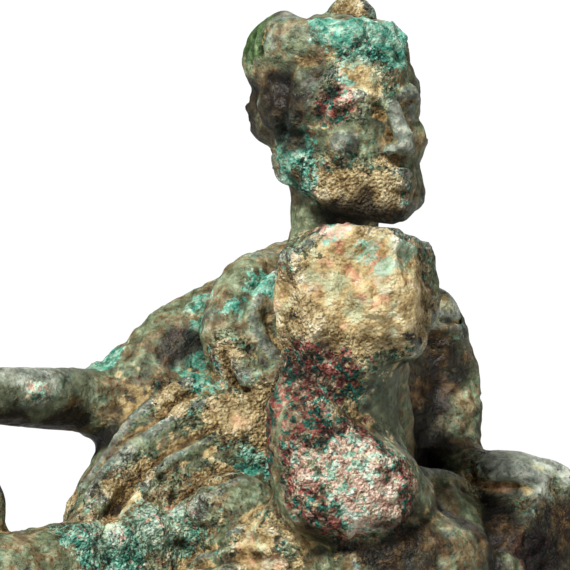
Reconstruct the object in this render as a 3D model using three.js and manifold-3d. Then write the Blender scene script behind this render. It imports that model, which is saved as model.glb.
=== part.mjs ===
// A small seated Mercury, cast solid in bronze, on a low moulded plinth of its own.
// Millimetres, +Z up. The god faces -Y, so his right hand, with the purse, is at -X.
// The origin is the middle of the plinth's flat underside.
import * as THREE from "three";
import { mergeVertices } from "three/addons/utils/BufferGeometryUtils.js";
import Module from "manifold-3d";

const wasm = await Module();
wasm.setup();

// Driving dimensions of the plinth and of the joint on top of it
const PLINTH = { width: 66, depth: 52, height: 6, corner: 5 };
const SOLDER_GAP = 0.3;
const FOOT_OF_CAST = PLINTH.height + SOLDER_GAP;

// The head: where its middle is, how far it turns, and its height from chin to crown
const HEAD_AT = [8.3, 5.4, 68.3];
const HEAD_TURN = { pitch: -5, roll: -6, yaw: 35 };
const HEAD_HEIGHT = 18.6;

const BRONZE = new THREE.MeshStandardMaterial({ color: 0x4a4a38, roughness: 0.62, metalness: 0.55 });
const PLINTH_BRONZE = new THREE.MeshStandardMaterial({ color: 0x3e3d2f, roughness: 0.6, metalness: 0.6 });

const radians = THREE.MathUtils.degToRad;

// A rounded lump: an ellipsoid, or with a higher power a blocky one with soft corners
function lump(centre, radii, { turn = [0, 0, 0], power = 2, detail = 2 } = {}) {
  const geometry = new THREE.IcosahedronGeometry(1, detail);
  const at = geometry.attributes.position;
  for (let i = 0; i < at.count; i++) {
    const sum = [at.getX(i), at.getY(i), at.getZ(i)].reduce((s, c) => s + Math.abs(c) ** power, 0);
    const out = sum ** (-1 / power);
    at.setXYZ(i, at.getX(i) * out * radii[0], at.getY(i) * out * radii[1], at.getZ(i) * out * radii[2]);
  }
  const mesh = new THREE.Mesh(geometry);
  mesh.position.set(...centre);
  mesh.rotation.set(...turn.map(radians));
  return mesh;
}

// A round limb or fold through stations [x, y, z, radius], with domed ends
function limb(stations, sides = 12, steps = 3 * (stations.length - 1)) {
  const spine = new THREE.CatmullRomCurve3(stations.map(([x, y, z]) => new THREE.Vector3(x, y, z)));
  const frames = spine.computeFrenetFrames(steps);
  const geometry = new THREE.CapsuleGeometry(1, steps, Math.round(sides / 5), sides, steps);
  const at = geometry.attributes.position;
  for (let i = 0; i < at.count; i++) {
    const height = at.getY(i) + steps / 2;
    const ring = Math.round(THREE.MathUtils.clamp(height, 0, steps));
    const dome = Math.min(height, 0) + Math.max(height - steps, 0);
    const place = spine.getUtoTmapping(ring / steps) * (stations.length - 1);
    const low = Math.min(Math.floor(place), stations.length - 2);
    const radius = THREE.MathUtils.lerp(stations[low][3], stations[low + 1][3], place - low);
    const point = spine
      .getPointAt(ring / steps)
      .addScaledVector(frames.tangents[ring], dome * radius)
      .addScaledVector(frames.binormals[ring], at.getX(i) * radius)
      .addScaledVector(frames.normals[ring], at.getZ(i) * radius);
    at.setXYZ(i, point.x, point.y, point.z);
  }
  return new THREE.Mesh(geometry);
}

// A lump broken along flat faces: its skin is held back by planes [normal, reach] round it,
// given in a space where each of its radii is 1
function hewn(centre, radii, planes, options) {
  const mesh = lump(centre, radii, options);
  const at = mesh.geometry.attributes.position;
  const scale = new THREE.Vector3(...radii);
  for (let i = 0; i < at.count; i++) {
    const point = new THREE.Vector3().fromBufferAttribute(at, i).divide(scale);
    for (const [normal, reach] of planes) {
      const over = point.dot(new THREE.Vector3(...normal)) / reach;
      if (over > 1) point.divideScalar(over);
    }
    at.setXYZ(i, point.x * radii[0], point.y * radii[1], point.z * radii[2]);
  }
  return mesh;
}

function solidOf(mesh) {
  const geometry = mesh.geometry.clone();
  geometry.deleteAttribute("normal");
  geometry.deleteAttribute("uv");
  const merged = mergeVertices(geometry, 1e-4);
  merged.applyMatrix4(mesh.matrixWorld);
  return new wasm.Manifold(
    new wasm.Mesh({
      numProp: 3,
      vertProperties: new Float32Array(merged.attributes.position.array),
      triVerts: new Uint32Array(merged.index.array),
    }),
  );
}

// Everything in the group becomes one solid, as wax parts are joined before a casting;
// the meshes in cuts are then taken out of it
function castInOne(name, material, group, cuts = new THREE.Group()) {
  const solids = [group, cuts].map((g) => {
    g.updateMatrixWorld(true);
    const found = [];
    g.traverse((o) => o.isMesh && found.push(solidOf(o)));
    return found;
  });
  const cast = solids[1].reduce((s, cut) => s.subtract(cut), wasm.Manifold.union(solids[0]));
  const { vertProperties, triVerts } = cast.getMesh();
  const geometry = new THREE.BufferGeometry();
  geometry.setAttribute("position", new THREE.BufferAttribute(vertProperties, 3));
  geometry.setIndex(new THREE.BufferAttribute(triVerts, 1));
  geometry.computeVertexNormals();
  const mesh = new THREE.Mesh(geometry, material);
  mesh.name = name;
  return mesh;
}

// The head is modelled upright, facing -Y, and then tilted and turned as one
function head() {
  const group = new THREE.Group();
  const third = HEAD_HEIGHT / 3.5; // hairline to brow, brow to nose, nose to chin
  const chin = -HEAD_HEIGHT / 2;
  const nose = chin + third;
  const brow = chin + 2 * third;
  group.add(
    lump([0, 1.0, 2.0], [6.3, 7.4, 6.8]), // skull
    lump([0, -1.9, -2.2], [5.5, 5.1, 6.7]), // face
    lump([0, -4.4, chin + 2], [2.6, 2.3, 2]), // chin
    lump([0, -6.2, nose - third / 3], [1.7, 1.0, 0.9], { detail: 1 }), // lips
    limb([[0, -6.7, brow - 0.4, 0.8], [0, -8.0, nose + 1, 1.1]], 6, 2),
  );
  for (const side of [-1, 1]) {
    group.add(
      limb([[side, -6.3, brow, 0.8], [4.4 * side, -4.6, brow - 0.3, 0.8]], 5, 2),
      lump([2.4 * side, -5.6, 0], [1.4, 0.9, 0.8], { detail: 1 }), // eye
    );
  }
  group.add(...hair(), ...cap());
  group.position.set(...HEAD_AT);
  group.rotation.set(radians(HEAD_TURN.pitch), radians(HEAD_TURN.roll), radians(HEAD_TURN.yaw), "ZXY");
  return group;
}

// Two rows of short curls run from temple to temple: under the brim, and round the nape
function hair() {
  const rows = [
    { z: 2.3, curls: 8, side: 5.5, back: 6.1, size: 2.3, from: 58 },
    { z: -2.4, curls: 6, side: 4.9, back: 3.4, size: 1.9, from: 68 },
  ];
  return rows.flatMap(({ z, curls, side, back, size, from }) =>
    Array.from({ length: curls }, (_, i) => {
      const angle = radians(from + ((360 - 2 * from) * i) / (curls - 1));
      return lump([side * Math.sin(angle), 1.4 - back * Math.cos(angle), z], [size, size, 1.2 * size], { detail: 1 });
    }),
  );
}

// The winged travelling cap: a shallow dome, a thick rolled brim that slants, and two worn wing stubs
function cap() {
  const brim = { width: 5.3, depth: 6.2, back: 1.3, rise: 7.1, slant: -0.9, roll: 1.8 };
  const around = 20;
  const across = 6;
  const ring = new THREE.TorusGeometry(1, 0.1, across, around);
  const at = ring.attributes.position;
  for (let j = 0; j <= across; j++) {
    for (let i = 0; i <= around; i++) {
      const a = (2 * Math.PI * i) / around;
      const b = (2 * Math.PI * j) / across;
      const out = brim.roll * Math.cos(b);
      at.setXYZ(
        j * (around + 1) + i,
        (brim.width + out) * Math.cos(a),
        brim.back + (brim.depth + out) * Math.sin(a),
        brim.rise + brim.slant * Math.cos(a) + brim.roll * Math.sin(b),
      );
    }
  }
  return [
    lump([0, brim.back, brim.rise], [brim.width, brim.depth, 4.6]),
    new THREE.Mesh(ring),
    lump([-4.5, 2.0, 8.9], [2.2, 4.0, 3.1], { turn: [-20, 12, 0] }),
    lump([3.7, 2.4, 10.0], [1.9, 3.8, 2.8], { turn: [-20, -12, 0] }),
  ];
}

function torso() {
  const group = new THREE.Group();
  group.add(
    limb([[7.4, 7.5, 62, 3.9], [7.0, 9, 54, 4.3]], 10, 2),
    limb([[0.5, 9.5, 50.5, 3.2], [6.8, 9.2, 53.4, 4.0], [14, 10, 51, 2.8]], 8, 4),
    lump([7.2, 11, 42.5], [9.7, 6.6, 13.5]),
  );
  return group;
}

function rightArm() {
  const group = new THREE.Group();
  group.add(
    limb([[-2.6, 8, 49.7, 4.6], [-8.0, 6, 46.8, 4.2], [-13.0, 4, 43.4, 3.1]], 10, 4),
    limb([[-13, 4, 43.7, 3.0], [-24.6, -3.8, 43.4, 2.4]], 10, 2),
    lump([-27.2, -5.4, 42.9], [3.2, 2.6, 2.7], { turn: [0, 0, 35] }),
  );
  for (let finger = 0; finger < 4; finger++) {
    const x = -29.2 + 1.15 * finger;
    const y = -6.8 - 0.8 * (1.5 - finger);
    group.add(limb([[x, y + 1.6, 45, 0.75], [x, y - 0.9, 43.6, 0.8], [x + 0.2, y - 0.4, 41.3, 0.75]], 5, 2));
  }
  return group;
}

// The purse hangs from the fist and rests on the knee
function purse() {
  const group = new THREE.Group();
  group.add(
    limb([[-27, -6.2, 42, 1.5], [-26.2, -6.8, 38, 1.7]], 8, 1),
    lump([-25.6, -7.2, 33.2], [4.4, 4, 4.9]),
  );
  return group;
}

function leftArm() {
  const group = new THREE.Group();
  group.add(
    limb([[15.9, 10, 51.6, 2.9], [17.4, 11.5, 46, 3.0], [18.3, 9, 40, 2.4], [19.2, 6.5, 36.6, 2.6]], 10, 5),
    lump([22.3, 5, 37.2], [4.2, 2.7, 1.7], { detail: 1 }),
  );
  for (let finger = 0; finger < 4; finger++) {
    const y = 3.2 + 1.25 * finger;
    group.add(limb([[23.6, y, 37.4, 0.8], [26, y, 36.9, 0.9], [28, y, 35.8, 0.8]], 5, 2));
  }
  return group;
}

// Drawn up, so that the knee stands in front of the chest; corrosion has squared the knee off
// along flat faces, and worn the foot to a stump
function leftLeg() {
  const kneeFaces = [
    [[-0.2, -0.97, 0.15], 0.88], [[0.86, -0.5, 0.06], 0.87], [[0.22, 0, 0.97], 0.9], [[-0.62, -0.35, 0.7], 1.12],
    [[-0.85, -0.5, -0.1], 1], [[0.1, -0.75, -0.65], 1], [[0, 0.55, 0.83], 0.92],
  ];
  const group = new THREE.Group();
  group.add(
    limb([[9.5, 9, 31, 6.6], [8.2, 0, 41.5, 5.6], [8.4, -8.5, 50.2, 5.0]], 10, 4),
    hewn([8.9, -12.0, 51.4], [6.8, 5.9, 6.0], kneeFaces, { power: 3.4, detail: 3 }),
    lump([10.8, -14.6, 50.4], [3.3, 2.9, 2.8], { power: 3 }),
    limb([[7.8, -11.5, 48, 5.2], [7.4, -10.0, 42.2, 4.8], [7.6, -9.5, 37, 5.6]], 10, 3),
    lump([5.0, -12.0, 38.2], [3.7, 5.3, 6.4], { power: 2.4, turn: [0, -6, 0] }),
    lump([8.6, -12.4, 35.6], [5.5, 6.2, 4.4], { power: 2.6, turn: [0, 28, 0] }),
    lump([6.8, -12.8, 34.0], [4.7, 5.6, 3.6], { power: 2.4, turn: [0, 14, 0] }),
    lump([12.8, -10.2, 34.2], [2.8, 4.8, 2.5], { turn: [0, 34, 0] }),
  );
  return group;
}

function rightLeg() {
  const group = new THREE.Group();
  group.add(
    limb([[2.5, 8, 30, 7.6], [-9, 0, 27.5, 6.6], [-20.5, -9, 26.2, 5.2]], 10, 4),
    lump([-21.4, -10.2, 25.2], [4.9, 4.7, 4.9]),
    limb([[-21.4, -10.5, 24, 4.6], [-22.4, -13.5, 17, 3.9], [-22.8, -14.5, 10.5, 2.9]], 10, 4),
    limb([[-22.6, -13, 8.8, 2.7], [-23.2, -18, 8.4, 2.6], [-23.8, -22, 7.9, 2.2]], 8, 2),
  );
  return group;
}

// A ridge of cloth from one point over another to a third, pinched at both ends
const fold = (start, middle, end, thickness) =>
  limb([[...start, thickness * 0.6], [...middle, thickness], [...end, thickness * 0.7]], 5, 3);

function cloak() {
  const group = new THREE.Group();
  // bunched on the right shoulder
  group.add(
    limb([[4.2, 9, 54.0, 2.3], [0.2, 4.4, 54.5, 2.5], [-2.2, 1.6, 50.3, 2.4], [-0.8, 0.4, 45.8, 2.4],
      [3.2, 0.6, 44.4, 2.3]], 8, 6),
    lump([1.8, 4.2, 50.2], [3.8, 4.6, 5.4]),
    lump([-1.0, 6.2, 46], [4.6, 4.6, 6.2]),
    fold([1.8, 1.4, 54.4], [-0.2, -0.4, 50], [2.4, -1, 45.8], 1.1),
  );
  // over the lap and the right thigh, in folds that fall from the shoulder to the knee
  group.add(
    limb([[-6.3, 5, 40.2, 6.8], [-10.3, 2, 30.6, 7.6], [-11, -1, 25, 6.5]], 10, 3),
    lump([-1, 3, 38], [7.5, 5.6, 9]),
    fold([-5.6, 0.2, 45], [-10.6, -0.4, 41.6], [-15.2, -0.6, 35.6], 0.9),
    fold([-3.4, -0.5, 42.8], [-9.6, -1.3, 39], [-16, -7.0, 29.6], 1.5),
    fold([0.4, -1.0, 40.8], [-6.6, -1.4, 38], [-12, -6.3, 30.4], 1.5),
    fold([1.8, -1.6, 36.8], [-4.6, -2.2, 34.2], [-9.8, -6.4, 29.4], 1.5),
    lump([-1.8, -0.2, 41.4], [3.0, 1.9, 2.0]),
    lump([-0.2, 0.2, 43.8], [2.2, 1.6, 1.6]),
  );
  // its end, rolled up under the left foot
  group.add(
    lump([-1, -7, 26.6], [5, 5, 5]),
    lump([-1.8, -3.9, 32.4], [4.2, 3.7, 4.2]),
    lump([2.8, -9.4, 30.6], [3.2, 3.2, 3.6]),
    fold([-5, -9.2, 27.4], [-0.6, -9.6, 31], [3.4, -10.4, 27.6], 1),
  );
  // over the left hip
  group.add(
    lump([14.1, 3, 29.3], [8, 8, 8]),
    lump([12.0, -8.0, 28.2], [8.6, 8.0, 5.6], { power: 2.4 }),
    fold([12.4, -3, 37], [16.6, 0.4, 36.2], [20.6, 4, 34.8], 1),
    fold([13.6, -5, 32], [18.4, -3.6, 30.4], [21.6, 0, 27], 1.2),
  );
  // down the back, in a fan of long folds from a collar
  const pleats = 4;
  group.add(
    lump([7, 13.5, 40], [12, 6.4, 18], { power: 2.5 }),
    limb([[-1, 9, 54.6, 2], [7, 13, 58.4, 2.6], [14.8, 11, 53.6, 2]], 8, 4),
  );
  for (let i = 0; i < pleats; i++) {
    const across = i - (pleats - 1) / 2;
    group.add(fold([7 + 2.4 * across, 17, 54], [7 + 4.6 * across, 19.3, 41], [7 + 5.6 * across, 18.2, 26], 1.5));
  }
  return group;
}

// A boulder: its flat faces turn round it from top to bottom
function boulder(centre, radii, faces, seed) {
  const planes = Array.from({ length: faces }, (_, i) => {
    const height = 1 - (2 * (i + 0.5)) / faces;
    const angle = 2.4 * i + seed;
    const across = Math.sqrt(1 - height ** 2);
    return [[across * Math.cos(angle), across * Math.sin(angle), height], 0.84 + 0.12 * Math.sin(5.1 * i + seed)];
  });
  return hewn(centre, radii, planes, { power: 3, detail: 3 });
}

function rock() {
  const group = new THREE.Group();
  group.add(
    boulder([8, 7.5, 13], [25, 17, 17], 14, 1),
    boulder([23, 6.5, 22.5], [8.6, 10.5, 15], 12, 2),
    boulder([8.5, -8, 16], [12, 12.5, 16], 12, 3),
    boulder([-11, -2, 11], [15, 14, 16], 12, 4),
    lump([-1.8, -3.6, 20.5], [4.2, 4.4, 5.5]),
  );
  return group;
}

function plinth() {
  const { width, depth, height, corner } = PLINTH;
  const slab = (inset, low, high, bevel) => {
    const w = width / 2 - inset - bevel;
    const d = depth / 2 - inset - bevel;
    const r = corner - inset;
    const outline = new THREE.Shape();
    outline.absarc(w - r, d - r, r, 0, Math.PI / 2);
    outline.absarc(r - w, d - r, r, Math.PI / 2, Math.PI);
    outline.absarc(r - w, r - d, r, Math.PI, 1.5 * Math.PI);
    outline.absarc(w - r, r - d, r, 1.5 * Math.PI, 2 * Math.PI);
    outline.closePath();
    const geometry = new THREE.ExtrudeGeometry(outline, {
      depth: high - low - 2 * bevel, bevelSize: bevel, bevelThickness: bevel, bevelSegments: 1, curveSegments: 3,
    });
    const mesh = new THREE.Mesh(geometry);
    mesh.position.z = low + bevel;
    return mesh;
  };
  const group = new THREE.Group();
  group.add(slab(0, 0, 2.4, 0.6), slab(2, 1, 5, 0.3), slab(0.8, 4, height, 0.6));
  return castInOne("low_plinth", PLINTH_BRONZE, group);
}

const figure = new THREE.Group();
figure.add(head(), torso(), rightArm(), purse(), leftArm(), leftLeg(), rightLeg(), cloak(), rock());
const below = new THREE.Group();
const flat = new THREE.Mesh(new THREE.BoxGeometry(100, 100, 20));
flat.position.z = FOOT_OF_CAST - 10;
below.add(flat);

const statuette = new THREE.Group();
statuette.add(castInOne("mercury_figure", BRONZE, figure, below), plinth());
export default statuette;
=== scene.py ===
# A small seated god in excavated bronze on a low moulded plinth.
# Forms are worked out in millimetres, and meshes are made in metres.
import itertools
import math

import bpy
import numpy as np
import openvdb
from mathutils import Euler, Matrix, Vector


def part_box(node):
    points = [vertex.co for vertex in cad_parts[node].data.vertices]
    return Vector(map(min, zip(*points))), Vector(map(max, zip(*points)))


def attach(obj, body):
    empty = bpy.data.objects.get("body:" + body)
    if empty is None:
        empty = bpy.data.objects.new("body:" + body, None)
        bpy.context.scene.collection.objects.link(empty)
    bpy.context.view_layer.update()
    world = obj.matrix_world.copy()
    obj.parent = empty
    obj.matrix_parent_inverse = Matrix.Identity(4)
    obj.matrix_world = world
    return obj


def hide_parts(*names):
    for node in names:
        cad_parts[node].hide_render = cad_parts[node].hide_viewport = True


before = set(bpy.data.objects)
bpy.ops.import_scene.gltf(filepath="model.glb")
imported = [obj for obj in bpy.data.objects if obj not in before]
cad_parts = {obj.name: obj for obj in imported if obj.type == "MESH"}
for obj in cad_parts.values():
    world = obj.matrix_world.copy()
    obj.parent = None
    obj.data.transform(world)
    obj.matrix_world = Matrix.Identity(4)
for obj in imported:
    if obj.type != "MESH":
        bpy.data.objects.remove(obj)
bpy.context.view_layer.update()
MM = 0.001

# The figure and the rock that it sits on are one solid casting in leaded bronze.
# The founder joined rolls and lumps of wax and cut into them before the casting, so each form is added
# to, or cut out of, one field of distances to the skin. The field is poured as a mesh at the end.
plinth_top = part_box("low_plinth")[1].z / MM
figure_low, figure_high = (np.array(corner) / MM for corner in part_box("mercury_figure"))
SOLDER = 0.06
FOOT = plinth_top + SOLDER
MARGIN = 1.5
FAR = 4.0
GRID_STEP = 0.28
TINY = 1e-4


def joined(a, b, blend):
    """The nearer of two distances, with a soft fillet where they meet."""
    share = np.clip(0.5 + 0.5 * (b - a) / blend, 0, 1)
    return b + (a - b) * share - blend * share * (1 - share)


class Wax:
    """Distances to the skin on an even grid: below zero in the metal, above zero outside it."""

    def __init__(self, low, high, step):
        self.low = np.array(low, np.float32)
        self.step = step
        self.counts = np.ceil((high - low) / step).astype(int) + 1
        self.field = np.full(self.counts, FAR, np.float32)

    def window(self, form, blend):
        """The part of the grid round a form, and the places of its points."""
        low, high = form.low - blend - self.step, form.high + blend + self.step
        first = np.clip(np.floor((low - self.low) / self.step).astype(int), 0, self.counts - 1)
        last = np.clip(np.ceil((high - self.low) / self.step).astype(int) + 1, first + 1, self.counts)
        lines = [
            self.low[i] + self.step * np.arange(first[i], last[i], dtype=np.float32) for i in range(3)
        ]
        where = tuple(slice(a, b) for a, b in zip(first, last))
        return where, np.stack(np.meshgrid(*lines, indexing="ij"), -1)

    def add(self, blend, *forms):
        """Joins forms on, one after another, with fillets of about this size."""
        for form in forms:
            where, points = self.window(form, blend)
            self.field[where] = joined(self.field[where], form.distance(points), blend)

    def cut(self, blend, *forms):
        """Cuts forms out, one after another, and rounds the edges by about this much."""
        for form in forms:
            where, points = self.window(form, blend)
            self.field[where] = -joined(-self.field[where], form.distance(points), blend)

    def front(self, x, z):
        """How far forward the skin is at this place, seen from the front."""
        i, _, k = np.round((np.array((x, 0, z)) - self.low) / self.step).astype(int)
        return self.low[1] + self.step * np.argmax(self.field[i, :, k] < 0)

    def read(self, field, points):
        """Values of a field on the same grid at any points."""
        place = np.clip((points - self.low) / self.step, 0, self.counts - 1.001)
        cell = place.astype(int)
        share = (place - cell).astype(np.float32)
        total = np.zeros(len(points), np.float32)
        for corner in itertools.product((0, 1), repeat=3):
            weight = np.prod(np.where(corner, share, 1 - share), axis=-1)
            total += weight * field[tuple((cell + corner).T)]
        return total


class Lump:
    """A rounded lump: an ellipsoid, or with a higher power a blocky one with soft corners."""

    def __init__(self, centre, radii, turn=(0, 0, 0), power=2):
        self.radii = np.array(radii, np.float32)
        self.power = power
        self.set(np.array(centre, np.float32), np.array(Euler(map(math.radians, turn), "ZYX").to_matrix()))

    def set(self, centre, turn):
        self.centre, self.turn = centre, turn.astype(np.float32)
        reach = np.abs(self.turn) @ self.radii
        self.low, self.high = centre - reach, centre + reach

    def moved(self, turn, by):
        self.set(turn @ self.centre + by, turn @ self.turn)
        return self

    def unit(self, points):
        return (points - self.centre) @ self.turn / self.radii

    def distance(self, points):
        local = np.abs(self.unit(points)) + TINY
        size = (local**self.power).sum(-1) ** (1 / self.power)
        slope = local ** (self.power - 1) / self.radii
        return (size - 1) * size ** (self.power - 1) / np.sqrt((slope**2).sum(-1))


class Limb:
    """A round limb, a roll of cloth or a lock of hair through stations (x, y, z, radius)."""

    def __init__(self, *stations, spans=4):
        knots = np.array(stations, np.float32)
        ends = np.vstack([2 * knots[0] - knots[1], knots, 2 * knots[-1] - knots[-2]])
        path = [knots[-1:]]
        for a, b, c, d in zip(ends, ends[1:], ends[2:], ends[3:]):
            t = (np.arange(spans) / spans)[:, None]
            cubic = (3 * b - a - 3 * c + d) * t**3 + (2 * a - 5 * b + 4 * c - d) * t**2 + (c - a) * t
            path.insert(-1, b + cubic / 2)
        self.set(np.vstack(path).astype(np.float32))

    def set(self, path):
        self.path = path
        self.low = (path[:, :3] - path[:, 3:]).min(0)
        self.high = (path[:, :3] + path[:, 3:]).max(0)

    def moved(self, turn, by):
        self.set(np.hstack([self.path[:, :3] @ turn.T + by, self.path[:, 3:]]).astype(np.float32))
        return self

    def distance(self, points):
        lines = points[:, 0, 0, 0], points[0, :, 0, 1], points[0, 0, :, 2]
        nearest = np.full(points.shape[:3], FAR, np.float32)
        for start, end in zip(self.path, self.path[1:]):
            reach = max(start[3], end[3]) + MARGIN
            low, high = np.minimum(start, end)[:3] - reach, np.maximum(start, end)[:3] + reach
            near = tuple(
                slice(*np.searchsorted(line, (a, b))) for line, a, b in zip(lines, low, high)
            )
            away = points[near] - start[:3]
            along = (end - start)[:3]
            share = np.clip(away @ along / max(along @ along, TINY), 0, 1)
            radius = start[3] + (end[3] - start[3]) * share
            gap = np.linalg.norm(away - share[..., None] * along, axis=-1) - radius
            nearest[near] = np.minimum(nearest[near], gap)
        return nearest


wax = Wax(figure_low - MARGIN, figure_high + MARGIN, GRID_STEP)

# The head, modelled upright and facing -Y, then tilted and turned as one.
# Its face is the calm one of any young god, on the usual proportions: hairline to brow, brow to nose and
# nose to chin are each a third.
HEAD_AT = np.array((8.3, 5.4, 68.3))
HEAD_TURN = np.array(Euler(map(math.radians, (-5, -6, 35)), "YXZ").to_matrix())
HEAD_HEIGHT = 18.6
THIRD = HEAD_HEIGHT / 3.5
CHIN = -HEAD_HEIGHT / 2
NOSE = CHIN + THIRD
BROW = CHIN + 2 * THIRD
MOUTH = NOSE - THIRD / 3
BALL_OF_CHIN = CHIN + 1.7
UNDER_LIP = (MOUTH + BALL_OF_CHIN) / 2 - 0.1
EYE_ASIDE = 2.5


def on_head(*forms):
    return [form.moved(HEAD_TURN, HEAD_AT) for form in forms]


def both_sides(make):
    """The forms that a function makes for the right side, at -1, and the left, at 1."""
    return [*make(-1), *make(1)]


def jaw(side):
    return [Limb((4.7 * side, 0, -3.4, 1.5), (3.9 * side, -2.6, -6.2, 1.5), (1.2 * side, -4.7, -7.9, 1.4))]


def cheek_and_brow(side):
    return [
        Lump((3.5 * side, -4.5, NOSE + 2.0), (1.8, 1.5, 1.5)),
        Limb(
            (0.9 * side, -6.4, BROW + 0.1, 0.5),
            (2.7 * side, -6.2, BROW + 0.6, 0.6),
            (4.5 * side, -4.4, BROW - 0.2, 0.5),
        ),
    ]


def eye_hollow(side):
    return [Lump((EYE_ASIDE * side, -7.2, 0.15), (1.7, 1.3, 0.85))]


def eye_in_its_lids(side):
    x = EYE_ASIDE * side
    ball = Lump((x, -5.25, 0.1), (1.35, 1.15, 0.85))
    upper_lid = Limb((1.15 * side, -6.0, 0.1, 0.16), (x, -6.45, 0.85, 0.26), (3.9 * side, -5.3, 0.1, 0.16))
    lower_lid = Limb((1.2 * side, -5.95, 0, 0.14), (x, -6.3, -0.6, 0.2), (3.8 * side, -5.3, 0, 0.14))
    return [ball, upper_lid, lower_lid]


def wing_of_nose(side):
    return [Lump((0.95 * side, -7.2, NOSE + 0.65), (0.65, 0.8, 0.6))]


def nostril(side):
    return [Limb((0.5 * side, -8.1, NOSE, 0.2), (0.75 * side, -7.5, NOSE + 0.05, 0.2))]


skull = Lump((0, 1, 2), (6.3, 7.4, 6.8))
face = Lump((0, -1.9, -2.2), (5.3, 4.9, 6.5))
forehead = Lump((0, -2.4, 4.2), (5.0, 4.2, 3.8))
wax.add(1.6, *on_head(skull, face, forehead, *both_sides(jaw)))

chin = Lump((0, -4.9, BALL_OF_CHIN), (2.1, 1.8, 1.6))
round_the_mouth = Lump((0, -5.5, MOUTH), (2.5, 1.4, 1.5))
under_the_lip = Lump((0, -7.5, UNDER_LIP), (1.3, 0.7, 0.35))
wax.add(1.0, *on_head(chin, round_the_mouth, *both_sides(cheek_and_brow)))
wax.cut(0.9, *on_head(*both_sides(eye_hollow), under_the_lip))

nose = Limb((0, -6.3, BROW, 0.6), (0, -7.2, 0, 0.65), (0, -8.2, NOSE + 0.95, 0.9))
upper_lip = Limb(
    (-1.9, -6.0, MOUTH, 0.2),
    (-0.6, -6.9, MOUTH + 0.4, 0.42),
    (0, -6.95, MOUTH + 0.28, 0.4),
    (0.6, -6.9, MOUTH + 0.4, 0.42),
    (1.9, -6.0, MOUTH, 0.2),
)
lower_lip = Limb((-1.4, -6.2, MOUTH - 0.4, 0.3), (0, -6.8, MOUTH - 0.65, 0.55), (1.4, -6.2, MOUTH - 0.4, 0.3))
between_lips = Limb(
    (-1.8, -6.35, MOUTH - 0.05, 0.1), (0, -7.45, MOUTH - 0.1, 0.16), (1.8, -6.35, MOUTH - 0.05, 0.1)
)
wax.add(0.5, *on_head(nose, *both_sides(wing_of_nose), upper_lip, lower_lip))
wax.add(0.25, *on_head(*both_sides(eye_in_its_lids)))
wax.cut(0.2, *on_head(between_lips, *both_sides(nostril)))

# The hair: a waved roll from the forehead to each temple, a thick band under the brim at the back, and
# short curls in two rows from temple to temple, each a lump with a groove wound into it.
CURL_ROWS = [
    {"z": 2.8, "curls": 8, "side": 5.5, "back": 6.1, "size": 2.3, "from": 58},
    {"z": -2.4, "curls": 6, "side": 4.9, "back": 3.4, "size": 1.9, "from": 68},
]
ROWS_BACK = 1.4
GROOVE_TURNS = 1.4
GROOVE_REACH = 0.62
GROOVE_STRETCH = 1.15
GROOVE_RISE = 0.98
GROOVE_WIDTH = 0.2


def curl(centre, outward, size):
    """A short curl: a lump, and the groove that winds into its middle."""
    across = np.array((-outward[1], outward[0], 0))
    groove = []
    for share in np.linspace(1, 0.1, 7):
        angle = 2 * math.pi * GROOVE_TURNS * share
        reach = GROOVE_REACH * size * share
        side, up = reach * math.cos(angle), GROOVE_STRETCH * reach * math.sin(angle)
        rise = GROOVE_RISE * size * math.sqrt(1 - (GROOVE_REACH * share) ** 2)
        groove.append((*(centre + side * across + rise * outward + (0, 0, up)), GROOVE_WIDTH))
    return Lump(centre, (size, size, 1.2 * size)), Limb(*groove, spans=3)


def oval(centre, width, depth, radius, angles, slant=0):
    """Stations round an oval that lies flat, or that slants from side to side."""
    x, y, z = centre
    turns = [(math.cos(a), math.sin(a)) for a in angles]
    return [(x + width * c, y + depth * s, z + slant * c, radius) for c, s in turns]


def waved_roll(side):
    middle, temple = (2.6 * side, -5.0, 4.2, 1.0), (4.7 * side, -3.1, 3.2, 1.2)
    return [Limb((0, -5.3, 4.5, 0.8), middle, temple, (5.6 * side, -1.0, 1.2, 1.3))]


for row in CURL_ROWS:
    for angle in np.radians(np.linspace(row["from"], 360 - row["from"], row["curls"])):
        outward = np.array((math.sin(angle), -math.cos(angle), 0))
        centre = (0, ROWS_BACK, row["z"]) + outward * (row["side"], row["back"], 0)
        body, groove = curl(centre, outward, row["size"])
        wax.add(0.5, *on_head(body))
        wax.cut(0.25, *on_head(groove))
band = Limb(*oval((0, 1.3, 5.3), 5.2, 6, 1.6, np.linspace(-0.3, 3.4, 9), slant=-0.6))
wax.add(0.7, *on_head(band, *both_sides(waved_roll)))

# The winged travelling cap: a shallow dome, a thick rolled brim and two wings worn down to stubs.
BRIM = {"centre": (0, 1.3, 7.1), "width": 5.3, "depth": 6.2, "slant": -0.9, "radius": 1.8}
DOME_RISE = 3.8
WINGS = [
    {"centre": (-5.2, 2.0, 8.1), "radii": (2.3, 4.0, 3.1), "lean": 12},
    {"centre": (3.7, 2.4, 10.0), "radii": (1.9, 3.8, 2.8), "lean": -12},
]
WINGS_SWEPT = -20
FEATHERS = 3
FEATHER_PITCH = 1.5
brim = Limb(*oval(**BRIM, angles=np.linspace(0, 2 * math.pi, 13)), spans=3)
swelling_over_left_brow = Lump((11.4, 3.5, 75.6), (2.1, 2.4, 2.3))
dome = Lump(BRIM["centre"], (BRIM["width"], BRIM["depth"], DOME_RISE))
wax.add(0.9, *on_head(brim))
wax.add(0.9, swelling_over_left_brow)
wax.add(1.2, *on_head(dome))
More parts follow.
